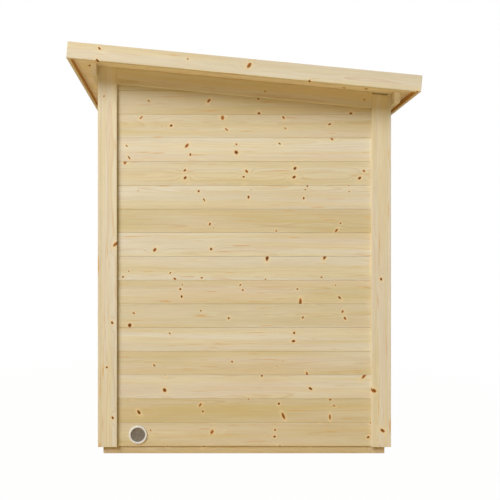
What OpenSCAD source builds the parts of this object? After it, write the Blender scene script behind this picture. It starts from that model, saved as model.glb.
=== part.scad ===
// Outdoor sauna with a boarded timber shell and a single-pitch roof, high at the front.
// Millimetres. +X runs along the front wall, +Y from the front to the rear, +Z up.
// The origin is on the ground, under the middle of the whole outline.

/* [Plan] */
// Length of the front and rear walls, over the corner boards
front_len = 2100; // [1600:10:2700]
// Length of the side walls, over the corner boards
side_len = 1660; // [1300:10:2300]

/* [Height and roof] */
// Height of the soffit at the outer face of the front corner boards
soffit_h = 2204; // [2150:1:2700]
// Fall of the roof towards the rear, in degrees
roof_slope = 5.5; // [2:0.5:8]
// Overhang past the front wall, along the slope
front_overhang = 143; // [110:1:300]
// Overhang past the rear wall, along the slope
rear_overhang = 110; // [90:1:300]
// Overhang past each side wall
side_overhang = 142; // [100:1:300]
// Thickness of the roof boards that show as the soffit
roof_board_t = 18; // [15:1:28]
// Thickness of the roofing felt
felt_t = 4; // [2:1:8]
// Depth of the felt below the top edges of the fascias
felt_drop = 2; // [1:1:8]

/* [Walls] */
// Thickness of the wall frame with its inner lining
core_t = 63; // [45:1:140]
// Thickness of the tongue and groove cladding
cladding_t = 18; // [14:1:28]

/* [Trim boards] */
// Thickness of the corner boards and of the trims between them
trim_t = 18; // [15:1:28]
// Width of a corner board on a side wall and on the front or rear wall
corner_w = 90; // [60:1:140]
// Width of the sloped trims at the top of the side walls
side_trim_w = 90; // [70:1:140]
// Width of the level trims at the top of the front and rear walls
end_trim_w = 90; // [70:1:140]
// Thickness of the fascia boards
fascia_t = 18; // [15:1:28]
// Width of the fascia boards
fascia_w = 90; // [80:1:140]
// Depth of the fascias' lower edges below the soffit
fascia_drop = 28; // [10:1:45]

/* [Purlins] */
// Thickness of a purlin, front to rear
purlin_t = 32; // [20:1:60]
// Height of a purlin
purlin_h = 62; // [40:1:120]
// Length of a purlin past the corner boards, at each end
purlin_end = 46; // [0:1:75]

/* [Base and floor] */
// Height of the base beams
base_h = 45; // [30:1:120]
// Width of the base beams
base_w = 95; // [90:1:160]
// Distance of the base beams behind the corner boards' outer faces
base_setback = 27; // [20:1:34]
// Thickness of the floor boards
floor_t = 28; // [18:1:45]

/* [Door] */
// Width of the doorway in the front wall
doorway_w = 760; // [650:1:900]
// Height of the doorway above the base beams
doorway_h = 1880; // [1700:1:1900]
// Thickness of the door frame's jambs, head and sill
frame_t = 32; // [25:1:50]
// Thickness of the door leaf
leaf_t = 40; // [30:1:45]
// Gap round the door leaf
leaf_gap = 3; // [2:0.5:6]
// Reach of the frame's stops behind the leaf
stop_w = 12; // [8:1:20]
// Width of the casing boards round the doorway
casing_w = 70; // [50:1:110]
// Height of the door handle's middle above the base beams
handle_h = 950; // [800:1:1100]
// Length of the door handle
handle_len = 300; // [200:1:450]
// Width and depth of the door handle's bar
handle_w = 30; // [22:1:40]
// Clear space between the handle's bar and the door
handle_reach = 35; // [30:1:50]
// Length of a door hinge
hinge_len = 90; // [60:1:120]
// Diameter of a door hinge's knuckle
hinge_d = 14; // [10:1:16]
// Width of a hinge's plate on the door leaf
hinge_plate_w = 34; // [25:1:50]
// Thickness of a hinge's plates
hinge_plate_t = 2.5; // [1.5:0.5:4]

/* [Vent] */
// Outer diameter of the vent ring
vent_d = 103; // [80:1:140]
// Inner diameter of the vent ring
vent_hole_d = 82; // [50:1:95]
// Thickness of the vent ring's flange on the cladding
vent_flange_t = 7; // [3:1:12]
// Wall of the vent sleeve that runs through the wall
vent_sleeve_t = 2; // [1:0.5:4]
// Distance of the vent's centre behind the front corner boards' outer face
vent_y = 226; // [190:1:400]
// Height of the vent's centre above the base beams
vent_h = 65; // [65:1:400]
// Thickness of the insect mesh
mesh_t = 1.5; // [1:0.5:3]

/* [Hidden] */

// Colours of the finishes
spruce = [0.88, 0.82, 0.69];
spruce_board = [0.84, 0.76, 0.60];
spruce_shade = [0.73, 0.62, 0.45];
felt_grey = [0.24, 0.24, 0.25];
vent_white = [0.92, 0.90, 0.86];
mesh_grey = [0.48, 0.44, 0.38];
steel = [0.68, 0.68, 0.68];

// Round surfaces
$fn = 64;
// Cuts run past the faces that they open by this much
cut = 1;
// Gap left at the butt joints of the door's casing boards
butt_gap = 0.5;

// Distances from the corner boards' outer faces to the cladding, the wall core and the room
cladding_in = trim_t;
core_in = cladding_in + cladding_t;
room_in = core_in + core_t;

half_front = front_len / 2;
roof_half = half_front + side_overhang;
// Ends of the roof along the slope, measured from the front corner boards at the soffit
roof_front = -front_overhang;
roof_rear = side_len / cos(roof_slope) + rear_overhang;
fascia_top = fascia_w - fascia_drop;
// The outline's front is the front fascia's lower edge, and its rear the rear fascia's upper edge
outline_front = roof_front * cos(roof_slope) - fascia_drop * sin(roof_slope);
outline_rear = roof_rear * cos(roof_slope) + fascia_top * sin(roof_slope);
plan_middle = (outline_front + outline_rear) / 2;

leaf_w = doorway_w - 2 * (frame_t + leaf_gap);
leaf_bottom = base_h + frame_t + leaf_gap;
leaf_top = base_h + doorway_h - frame_t - leaf_gap;
leaf_front = cladding_in;
leaf_back = leaf_front + leaf_t;

// Height of the soffit at the distance y behind the front corner boards' outer face
function soffit_z(y) = soffit_h - y * tan(roof_slope);

// Moves what is measured from the front corner boards so that the origin is under the middle
module placed() {
    translate([0, -plan_middle, 0]) children();
}

// Turns what is drawn square to the roof, with z = 0 at the soffit, into the roof's slope
module roof_placed() {
    placed() translate([0, 0, soffit_h]) rotate([-roof_slope, 0, 0]) children();
}

// A piece from x_low to x_high whose outline in the side view is a list of [y, z] points
module side_outline(x_low, x_high, outline) {
    placed() translate([x_low, 0, 0]) rotate([90, 0, 90])
        linear_extrude(x_high - x_low) polygon(outline);
}

// An upright panel or board from z_low up to the sloped soffit
module to_soffit(x_low, x_high, y_low, y_high, z_low) {
    side_outline(x_low, x_high, [
        [y_low, z_low], [y_high, z_low],
        [y_high, soffit_z(y_high)], [y_low, soffit_z(y_low)]
    ]);
}

// A square block between two corners
module block(low, high) {
    placed() translate(low) cube(high - low);
}

// The same, drawn square to the roof
module roof_block(low, high) {
    roof_placed() translate(low) cube(high - low);
}

// A cylinder along X on the vent's centre line
module vent_cylinder(d, x_low, x_high) {
    placed() translate([x_low, vent_y, base_h + vent_h])
        rotate([0, 90, 0]) cylinder(d = d, h = x_high - x_low);
}

/* Base and floor */

module base_beam_front() {
    color(spruce_board) block(
        [-half_front + base_setback, base_setback, 0],
        [half_front - base_setback, base_setback + base_w, base_h]);
}

module base_beam_rear() {
    color(spruce_board) block(
        [-half_front + base_setback, side_len - base_setback - base_w, 0],
        [half_front - base_setback, side_len - base_setback, base_h]);
}

module base_beam_right() {
    color(spruce_board) block(
        [half_front - base_setback - base_w, base_setback + base_w, 0],
        [half_front - base_setback, side_len - base_setback - base_w, base_h]);
}

module base_beam_left() {
    mirror([1, 0, 0]) base_beam_right();
}

module floor_boards() {
    color(spruce_board) block(
        [-half_front + room_in, room_in, base_h],
        [half_front - room_in, side_len - room_in, base_h + floor_t]);
}

/* Wall frames with their inner lining */

module front_wall_right() {
    color(spruce_shade) to_soffit(
        doorway_w / 2, half_front - room_in, core_in, room_in, base_h);
}

module front_wall_left() {
    mirror([1, 0, 0]) front_wall_right();
}

module front_wall_over_door() {
    color(spruce_shade) to_soffit(
        -doorway_w / 2, doorway_w / 2, core_in, room_in, base_h + doorway_h);
}

module rear_wall() {
    color(spruce_shade) to_soffit(
        -half_front + room_in, half_front - room_in,
        side_len - room_in, side_len - core_in, base_h);
}

module left_wall() {
    color(spruce_shade) to_soffit(
        -half_front + core_in, -half_front + room_in,
        core_in, side_len - core_in, base_h);
}

module right_wall() {
    color(spruce_shade) difference() {
        mirror([1, 0, 0]) left_wall();
        vent_cylinder(vent_hole_d + 2 * vent_sleeve_t,
            half_front - room_in - cut, half_front - core_in + cut);
    }
}

/* Cladding */

module front_cladding_right() {
    color(spruce_board) to_soffit(
        doorway_w / 2, half_front - core_in, cladding_in, core_in, base_h);
}

module front_cladding_left() {
    mirror([1, 0, 0]) front_cladding_right();
}

module front_cladding_over_door() {
    color(spruce_board) to_soffit(
        -doorway_w / 2, doorway_w / 2, cladding_in, core_in, base_h + doorway_h);
}

module rear_cladding() {
    color(spruce_board) to_soffit(
        -half_front + core_in, half_front - core_in,
        side_len - core_in, side_len - cladding_in, base_h);
}

module left_cladding() {
    color(spruce_board) to_soffit(
        -half_front + cladding_in, -half_front + core_in,
        cladding_in, side_len - cladding_in, base_h);
}

module right_cladding() {
    color(spruce_board) difference() {
        mirror([1, 0, 0]) left_cladding();
        vent_cylinder(vent_hole_d + 2 * vent_sleeve_t,
            half_front - core_in - cut, half_front - cladding_in + cut);
    }
}

/* Corner boards: the face board covers the edge of the side board */

module corner_front_right_face() {
    color(spruce) to_soffit(
        half_front - corner_w, half_front, 0, trim_t, base_h);
}

module corner_front_right_side() {
    color(spruce) to_soffit(
        half_front - trim_t, half_front, trim_t, trim_t + corner_w, base_h);
}

module corner_rear_right_face() {
    color(spruce) to_soffit(
        half_front - corner_w, half_front, side_len - trim_t, side_len, base_h);
}

module corner_rear_right_side() {
    color(spruce) to_soffit(
        half_front - trim_t, half_front,
        side_len - trim_t - corner_w, side_len - trim_t, base_h);
}

module corner_front_left_face() {
    mirror([1, 0, 0]) corner_front_right_face();
}

module corner_front_left_side() {
    mirror([1, 0, 0]) corner_front_right_side();
}

module corner_rear_left_face() {
    mirror([1, 0, 0]) corner_rear_right_face();
}

module corner_rear_left_side() {
    mirror([1, 0, 0]) corner_rear_right_side();
}

/* Trims under the soffit, between the corner boards */

module front_trim() {
    color(spruce) to_soffit(
        -half_front + corner_w, half_front - corner_w,
        0, trim_t, soffit_z(0) - end_trim_w);
}

module rear_trim() {
    color(spruce) to_soffit(
        -half_front + corner_w, half_front - corner_w,
        side_len - trim_t, side_len, soffit_z(side_len) - end_trim_w);
}

module right_trim() {
    y_front = trim_t + corner_w;
    y_rear = side_len - trim_t - corner_w;
    below = side_trim_w / cos(roof_slope);
    color(spruce) side_outline(half_front - trim_t, half_front, [
        [y_front, soffit_z(y_front) - below], [y_rear, soffit_z(y_rear) - below],
        [y_rear, soffit_z(y_rear)], [y_front, soffit_z(y_front)]
    ]);
}

module left_trim() {
    mirror([1, 0, 0]) right_trim();
}

/* Roof */

module purlin_front() {
    color(spruce) to_soffit(
        -half_front - purlin_end, half_front + purlin_end,
        -purlin_t, 0, soffit_z(0) - purlin_h);
}

module purlin_rear() {
    color(spruce) to_soffit(
        -half_front - purlin_end, half_front + purlin_end,
        side_len, side_len + purlin_t, soffit_z(side_len + purlin_t) - purlin_h);
}

// A layer of the roof between the fascias
module roof_layer(z_low, z_high) {
    roof_block(
        [-roof_half + fascia_t, roof_front + fascia_t, z_low],
        [roof_half - fascia_t, roof_rear - fascia_t, z_high]);
}

module roof_boards() {
    color(spruce_shade) roof_layer(0, roof_board_t);
}

module roof_core() {
    color(spruce_shade) roof_layer(roof_board_t, fascia_top - felt_drop - felt_t);
}

module roof_felt() {
    color(felt_grey) roof_layer(fascia_top - felt_drop - felt_t, fascia_top - felt_drop);
}

module fascia_right() {
    color(spruce) roof_block(
        [roof_half - fascia_t, roof_front, -fascia_drop],
        [roof_half, roof_rear, fascia_top]);
}

module fascia_left() {
    mirror([1, 0, 0]) fascia_right();
}

module fascia_front() {
    color(spruce) roof_block(
        [-roof_half + fascia_t, roof_front, -fascia_drop],
        [roof_half - fascia_t, roof_front + fascia_t, fascia_top]);
}

module fascia_rear() {
    color(spruce) roof_block(
        [-roof_half + fascia_t, roof_rear - fascia_t, -fascia_drop],
        [roof_half - fascia_t, roof_rear, fascia_top]);
}

/* Vent */

module vent_ring() {
    face = half_front - cladding_in;
    color(vent_white) difference() {
        union() {
            vent_cylinder(vent_d, face, face + vent_flange_t);
            vent_cylinder(vent_hole_d + 2 * vent_sleeve_t, half_front - room_in, face + vent_flange_t);
        }
        vent_cylinder(vent_hole_d, half_front - room_in - cut, face + vent_flange_t + cut);
    }
}

module vent_mesh() {
    face = half_front - cladding_in;
    color(mesh_grey) vent_cylinder(vent_hole_d, face, face + mesh_t);
}

/* Door */

module door_leaf() {
    color(spruce_board) block(
        [-leaf_w / 2, leaf_front, leaf_bottom], [leaf_w / 2, leaf_back, leaf_top]);
}

// The frame is rebated for the leaf: its stops reach behind the leaf's back
module door_frame() {
    clear = doorway_w / 2 - frame_t;
    clear_low = base_h + frame_t;
    clear_high = base_h + doorway_h - frame_t;
    color(spruce) difference() {
        block([-doorway_w / 2, cladding_in, base_h], [doorway_w / 2, room_in, base_h + doorway_h]);
        block([-clear, cladding_in - cut, clear_low], [clear, leaf_back, clear_high]);
        block([-clear + stop_w, leaf_back - cut, clear_low + stop_w],
            [clear - stop_w, room_in + cut, clear_high - stop_w]);
    }
}

// The casing covers the joint between the frame and the cladding
module door_casing() {
    inner = doorway_w / 2 - frame_t / 2;
    top = base_h + doorway_h - frame_t / 2;
    color(spruce) {
        block([inner, 0, base_h], [inner + casing_w, trim_t, top + casing_w]);
        block([-inner - casing_w, 0, base_h], [-inner, trim_t, top + casing_w]);
        block([-inner + butt_gap, 0, top], [inner - butt_gap, trim_t, top + casing_w]);
    }
}

// A bar on two feet near the leaf's left edge
module door_handle() {
    x_mid = -leaf_w / 2 + 2 * handle_w;
    z_mid = base_h + handle_h;
    bar_back = leaf_front - handle_reach;
    foot_h = handle_w;
    foot_z = handle_len / 2 - 1.5 * foot_h;
    color(spruce_shade) {
        block([x_mid - handle_w / 2, bar_back - handle_w, z_mid - handle_len / 2],
            [x_mid + handle_w / 2, bar_back, z_mid + handle_len / 2]);
        for (side = [-1, 1])
            block([x_mid - handle_w / 2, bar_back, z_mid + side * foot_z - foot_h / 2],
                [x_mid + handle_w / 2, leaf_front, z_mid + side * foot_z + foot_h / 2]);
    }
}

// Each hinge is a knuckle over the gap at the leaf's right edge, with a plate on both sides
module door_hinges() {
    x_mid = leaf_w / 2 + leaf_gap / 2;
    span = leaf_top - leaf_bottom;
    color(steel)
        for (share = [0.12, 0.5, 0.88]) {
            z_low = leaf_bottom + share * span - hinge_len / 2;
            placed() translate([x_mid, leaf_front - hinge_d / 2, z_low])
                cylinder(d = hinge_d, h = hinge_len);
            block([x_mid - hinge_plate_w, leaf_front - hinge_plate_t, z_low],
                [x_mid + frame_t / 2 - leaf_gap, leaf_front, z_low + hinge_len]);
        }
}

base_beam_front();
base_beam_rear();
base_beam_left();
base_beam_right();
floor_boards();
front_wall_left();
front_wall_right();
front_wall_over_door();
rear_wall();
left_wall();
right_wall();
front_cladding_left();
front_cladding_right();
front_cladding_over_door();
rear_cladding();
left_cladding();
right_cladding();
corner_front_left_face();
corner_front_left_side();
corner_front_right_face();
corner_front_right_side();
corner_rear_left_face();
corner_rear_left_side();
corner_rear_right_face();
corner_rear_right_side();
front_trim();
rear_trim();
left_trim();
right_trim();
purlin_front();
purlin_rear();
roof_boards();
roof_core();
roof_felt();
fascia_front();
fascia_rear();
fascia_left();
fascia_right();
vent_ring();
vent_mesh();
door_leaf();
door_frame();
door_casing();
door_handle();
door_hinges();
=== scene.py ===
# %% [markdown]
# # An outdoor sauna, board by board
# The sauna is a small timber building: a boarded shell on base beams, corner boards, and a
# single-pitch roof that hangs over on every side. Its construction is already fixed in a CAD
# frame, in metres, with +Z up, the front wall at -Y and the vented side wall at +X.
# This lesson gives that frame its looks: every board that shows is made as a board, with eased
# edges, tongues and grooves, and grain that runs the way it was sawn.

# %% Load the frame
import math
import random

import bmesh
import bpy
import numpy as np
from mathutils import Matrix, Vector


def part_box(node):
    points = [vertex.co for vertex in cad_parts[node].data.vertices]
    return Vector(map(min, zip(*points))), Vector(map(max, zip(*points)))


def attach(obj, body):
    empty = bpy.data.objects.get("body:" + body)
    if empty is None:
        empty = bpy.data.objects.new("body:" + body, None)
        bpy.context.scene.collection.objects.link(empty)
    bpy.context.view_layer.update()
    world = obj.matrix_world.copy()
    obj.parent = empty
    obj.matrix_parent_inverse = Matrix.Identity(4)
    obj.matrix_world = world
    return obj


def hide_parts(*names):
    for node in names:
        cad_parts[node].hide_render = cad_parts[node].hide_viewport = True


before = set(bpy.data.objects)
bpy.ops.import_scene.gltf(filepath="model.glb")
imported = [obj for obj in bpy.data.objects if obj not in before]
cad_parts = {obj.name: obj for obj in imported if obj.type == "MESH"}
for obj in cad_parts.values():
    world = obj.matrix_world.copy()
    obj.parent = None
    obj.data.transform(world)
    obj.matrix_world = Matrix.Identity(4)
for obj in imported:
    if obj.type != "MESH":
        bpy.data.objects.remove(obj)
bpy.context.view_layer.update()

# %% [markdown]
# ## Where things are
# All places come from the CAD nodes' boxes, so nothing has to be fitted afterwards. The roof's
# slope is found from the two purlins, whose tops lie against the underside of the roof boards.
# A second set of axes, turned with the slope, lets the roof be drawn square.

# %% Places and the roof's slope
MM = 0.001
X, Y, Z = Vector((1, 0, 0)), Vector((0, 1, 0)), Vector((0, 0, 1))

front_purlin, rear_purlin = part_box("purlin_front"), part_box("purlin_rear")
fall = (front_purlin[1].z - rear_purlin[1].z) / (rear_purlin[0].y - front_purlin[0].y)
slope = math.atan(fall)
soffit_point = Vector((0, front_purlin[0].y, front_purlin[1].z))
soffit_normal = Vector((0, math.sin(slope), math.cos(slope)))
on_slope = Matrix.Translation(soffit_point) @ Matrix.Rotation(-slope, 4, "X")
down_slope = on_slope.to_3x3() @ Y
up_from_roof = on_slope.to_3x3() @ Z
print(f"roof slope {math.degrees(slope):.2f} degrees")


def slope_box(node):
    """Lowest and highest corners of a CAD node in the roof's own square axes."""
    corners = [on_slope.inverted() @ v.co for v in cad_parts[node].data.vertices]
    return (Vector([min(c[i] for c in corners) for i in range(3)]),
            Vector([max(c[i] for c in corners) for i in range(3)]))


# %% [markdown]
# ## The camera
# The building is looked at square on to its side wall, so that uprights stay upright and
# courses stay level. A person's eye is near the front of that wall, so the picture is shifted
# sideways and a little upwards instead of turning the camera.

# %% Camera
side_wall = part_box("corner_front_right_side")
front_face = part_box("corner_front_right_face")[0].y
eye_distance = 2.9
eye_behind_front = 0.539
eye_height = 1.0345

bpy.ops.object.camera_add(
    location=(side_wall[1].x + eye_distance, front_face + eye_behind_front, eye_height),
    rotation=(math.radians(90), 0, math.radians(90)))
camera = bpy.context.object
camera.data.sensor_width = 36
camera.data.lens = 36.9
camera.data.shift_x = 0.114
camera.data.shift_y = 0.0446
camera.data.clip_end = 100
bpy.context.scene.camera = camera
print("camera at", [round(v, 3) for v in camera.location])

# %% [markdown]
# ## Light and floor
# One broad soft lamp stands towards the front, some forty degrees up, so that the corner board
# and the roof's edge throw soft shadows on the wall. A very weak one fills from the rear end of
# that side, and a third keeps the far walls readable. The sky adds only a little, and the warm
# floor throws light up under the roof. Rays that come straight from the camera, or by way of
# gloss or glass, see plain white instead of the sky. To such rays the floor is almost that
# white too, with a trace of shadow near the building, so that no horizon cuts the picture.

# %% A node, a colour and a lamp
scene = bpy.context.scene
scene.view_settings.view_transform = "Standard"


def linear(hex_colour):
    """An sRGB hex colour as the linear RGBA that Blender's sockets hold."""
    parts = [int(hex_colour[i:i + 2], 16) / 255 for i in (1, 3, 5)]
    lit = [p / 12.92 if p <= 0.04045 else ((p + 0.055) / 1.055) ** 2.4 for p in parts]
    return (*lit, 1.0)


def add(tree, kind, settings=None, inputs=None):
    """A new node with its settings. Each input takes a value, or a link from a node or socket."""
    new = tree.nodes.new(kind)
    for name, value in (settings or {}).items():
        setattr(new, name, value)
    for key, value in (inputs or {}).items():
        if isinstance(value, bpy.types.Node):
            value = value.outputs[0]
        if isinstance(value, bpy.types.NodeSocket):
            tree.links.new(value, new.inputs[key])
        else:
            new.inputs[key].default_value = value
    return new


def lamp(name, direction, distance, size, power):
    """A square area lamp that faces the middle of the vented wall."""
    middle = Vector((side_wall[1].x, 0, 1.1))
    place = middle + Vector(direction).normalized() * distance
    bpy.ops.object.light_add(type="AREA", location=place)
    made = bpy.context.object
    made.name = name
    made.data.size = size
    made.data.energy = power
    made.rotation_euler = (middle - place).to_track_quat("-Z", "Y").to_euler()


lamp("key", (1.0, -0.85, 1.06), distance=20.0, size=11.0, power=4380)
lamp("fill", (1.0, 0.45, 0.25), distance=9.0, size=5.0, power=12)
lamp("far", (-1.0, 0.8, 0.9), distance=10.0, size=6.0, power=420)

# %% Sky and floor
WHITE = (1.0, 1.0, 1.0, 1.0)
SKY = 0.03             # strength of the sky's light
FADE = (1.6, 3.4)      # the floor runs out into white between these distances, in metres
NEAR_WHITE = 0.985     # how white the camera sees the floor before it fades, out of 1

world = bpy.data.worlds.new("studio")
scene.world = world
world.use_nodes = True
tree = world.node_tree
tree.nodes.clear()
path = add(tree, "ShaderNodeLightPath")
seen = add(tree, "ShaderNodeMath", {"operation": "ADD", "use_clamp": True},
           {0: path.outputs["Is Camera Ray"], 1: path.outputs["Is Glossy Ray"]})
seen = add(tree, "ShaderNodeMath", {"operation": "ADD", "use_clamp": True},
           {0: seen, 1: path.outputs["Is Transmission Ray"]})
sky = add(tree, "ShaderNodeBackground", None, {"Color": WHITE, "Strength": SKY})
bare = add(tree, "ShaderNodeBackground", None, {"Color": WHITE, "Strength": 1.0})
both = add(tree, "ShaderNodeMixShader", None, {0: seen, 1: sky, 2: bare})
add(tree, "ShaderNodeOutputWorld", None, {"Surface": both})

bpy.ops.mesh.primitive_plane_add(size=60, location=(0, 0, 0))
floor = bpy.context.object
floor.name = "studio_floor"
paint = bpy.data.materials.new("pale studio floor")
paint.use_nodes = True
tree = paint.node_tree
tree.nodes.clear()
matt = add(tree, "ShaderNodeBsdfDiffuse", None, {"Color": linear("#E4C892")})
bare = add(tree, "ShaderNodeEmission", None, {"Color": WHITE, "Strength": 1.0})
place = add(tree, "ShaderNodeTexCoord").outputs["Object"]
away = add(tree, "ShaderNodeVectorMath", {"operation": "LENGTH"}, {0: place}).outputs["Value"]
fade = add(tree, "ShaderNodeMapRange", {"interpolation_type": "SMOOTHSTEP"},
           {0: away, 1: FADE[0], 2: FADE[1], 3: NEAR_WHITE, 4: 1.0})
path = add(tree, "ShaderNodeLightPath")
share = add(tree, "ShaderNodeMath", {"operation": "MULTIPLY"},
            {0: path.outputs["Is Camera Ray"], 1: fade})
both = add(tree, "ShaderNodeMixShader", None, {0: share, 1: matt, 2: bare})
add(tree, "ShaderNodeOutputMaterial", None, {"Surface": both})
floor.data.materials.append(paint)
print("floor fades out from", FADE[0], "to", FADE[1], "m")

# %% [markdown]
# ## The finish: planed Nordic spruce
# Spruce is a pale softwood. Each year's growth is a wide cream band and a thin darker one, so a
# board sawn from a log shows long flames on its face and arcs on its end. Branches start at the
# log's middle, in whorls a hand or two apart, and show as small red-brown knots with a pale
# rim, round on a flat-sawn face and long where the saw passed near the middle.
# An image of wood would slide over the edges of a board. Here every board carries an attribute,
# "log", that says where in its log each point lay, and the material grows rings and branches
# from it, so face, edge and end agree. A second attribute, "board", holds the board's own tone,
# its warmth and how knotty it is.

# %% Names for the nodes' kinds and settings
MATH, VECTOR, NOISE = "ShaderNodeMath", "ShaderNodeVectorMath", "ShaderNodeTexNoise"
DICE, SHARE, BLEND = "ShaderNodeTexWhiteNoise", "ShaderNodeMapRange", "ShaderNodeMix"
SPLIT, GATHER = "ShaderNodeSeparateXYZ", "ShaderNodeCombineXYZ"
TIMES, PLUS = {"operation": "MULTIPLY"}, {"operation": "ADD"}
TIMES_PLUS = {"operation": "MULTIPLY_ADD"}
SOFT = {"interpolation_type": "SMOOTHSTEP"}
MIXED = {"data_type": "RGBA", "blend_type": "MIX"}
STAINED = {"data_type": "RGBA", "blend_type": "MULTIPLY"}

# %% Branches
WHORL = 0.30           # distance between whorls of branches along the log
BRANCH_ANGLE = 0.60    # angle between the places where branches can grow, in radians
LEAN = 0.25            # rise of a branch for each metre that it grows outwards


def branches(tree, along, angle, radius, grade):
    """The nearest branch: the way off its middle in its own radii, its radius and darkness."""
    leaned = add(tree, MATH, TIMES_PLUS, {0: radius, 1: -LEAN, 2: along})
    polar = add(tree, GATHER, None, {"X": leaned, "Y": angle})
    polar = add(tree, VECTOR, {"operation": "DIVIDE"}, {0: polar, 1: (WHORL, BRANCH_ANGLE, 1)})
    cell = add(tree, VECTOR, {"operation": "FLOOR"}, {0: polar})
    inside = add(tree, VECTOR, {"operation": "FRACTION"}, {0: polar})

    # Each cell's own dice say whether a branch grows there, where and how thick
    whorl = add(tree, SPLIT, None, {"Vector": cell}).outputs["X"]
    whorl_roll = add(tree, DICE, {"noise_dimensions": "1D"}, {"W": whorl}).outputs["Value"]
    rolls = add(tree, DICE, {"noise_dimensions": "3D"}, {"Vector": cell}).outputs["Color"]
    rolls = add(tree, "ShaderNodeSeparateColor", None, {"Color": rolls})
    side_roll, place_roll, size_roll = rolls.outputs
    up = add(tree, MATH, TIMES_PLUS, {0: whorl_roll, 1: 0.68, 2: 0.08})
    up = add(tree, MATH, TIMES_PLUS, {0: place_roll, 1: 0.16, 2: up})
    aside = add(tree, MATH, TIMES_PLUS, {0: side_roll, 1: 0.5, 2: 0.25})
    spot = add(tree, GATHER, None, {"X": up, "Y": aside})
    off = add(tree, VECTOR, {"operation": "SUBTRACT"}, {0: inside, 1: spot})
    off = add(tree, VECTOR, TIMES, {0: off, 1: (WHORL, BRANCH_ANGLE, 0)})
    off_along, off_angle, _ = add(tree, SPLIT, None, {"Vector": off}).outputs
    off_round = add(tree, MATH, TIMES, {0: off_angle, 1: radius})

    # A branch thickens outwards. Some were cut askew, so their knots are slanted ovals.
    knotty = add(tree, SPLIT, None, {"Vector": grade}).outputs["Z"]
    grown = add(tree, MATH, {"operation": "LESS_THAN"}, {0: size_roll, 1: knotty})
    size = add(tree, MATH, {"operation": "MAXIMUM"}, {0: knotty, 1: 0.01})
    size = add(tree, MATH, {"operation": "DIVIDE"}, {0: size_roll, 1: size})
    size = add(tree, MATH, TIMES_PLUS, {0: size, 1: 0.085, 2: 0.046})
    grows_to = add(tree, MATH, {"operation": "MINIMUM"}, {0: radius, 1: 0.085})
    size = add(tree, MATH, TIMES, {0: size, 1: grows_to})
    size = add(tree, MATH, TIMES_PLUS, {0: size, 1: grown, 2: 0.01 * MM})
    slant = add(tree, MATH, TIMES_PLUS, {0: place_roll, 1: 1.6, 2: -0.8})
    oval = add(tree, MATH, TIMES_PLUS, {0: side_roll, 1: 0.6, 2: 0.65})
    slanted = add(tree, MATH, TIMES_PLUS, {0: off_round, 1: slant, 2: off_along})
    off_round = add(tree, MATH, TIMES, {0: off_round, 1: oval})
    off = add(tree, GATHER, None, {"X": slanted, "Y": off_round})
    over = add(tree, MATH, {"operation": "DIVIDE"}, {0: 1.0, 1: size})
    off = add(tree, VECTOR, {"operation": "SCALE"}, {0: off, "Scale": over})
    darkness = add(tree, MATH, {"operation": "MULTIPLY_ADD", "use_clamp": True},
                   {0: side_roll, 1: 1.2, 2: 0.35})
    return off, size, darkness


# %% Growth rings
RING = 3.4 * MM        # width of a year's growth, about twice that of slow-grown wood


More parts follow.
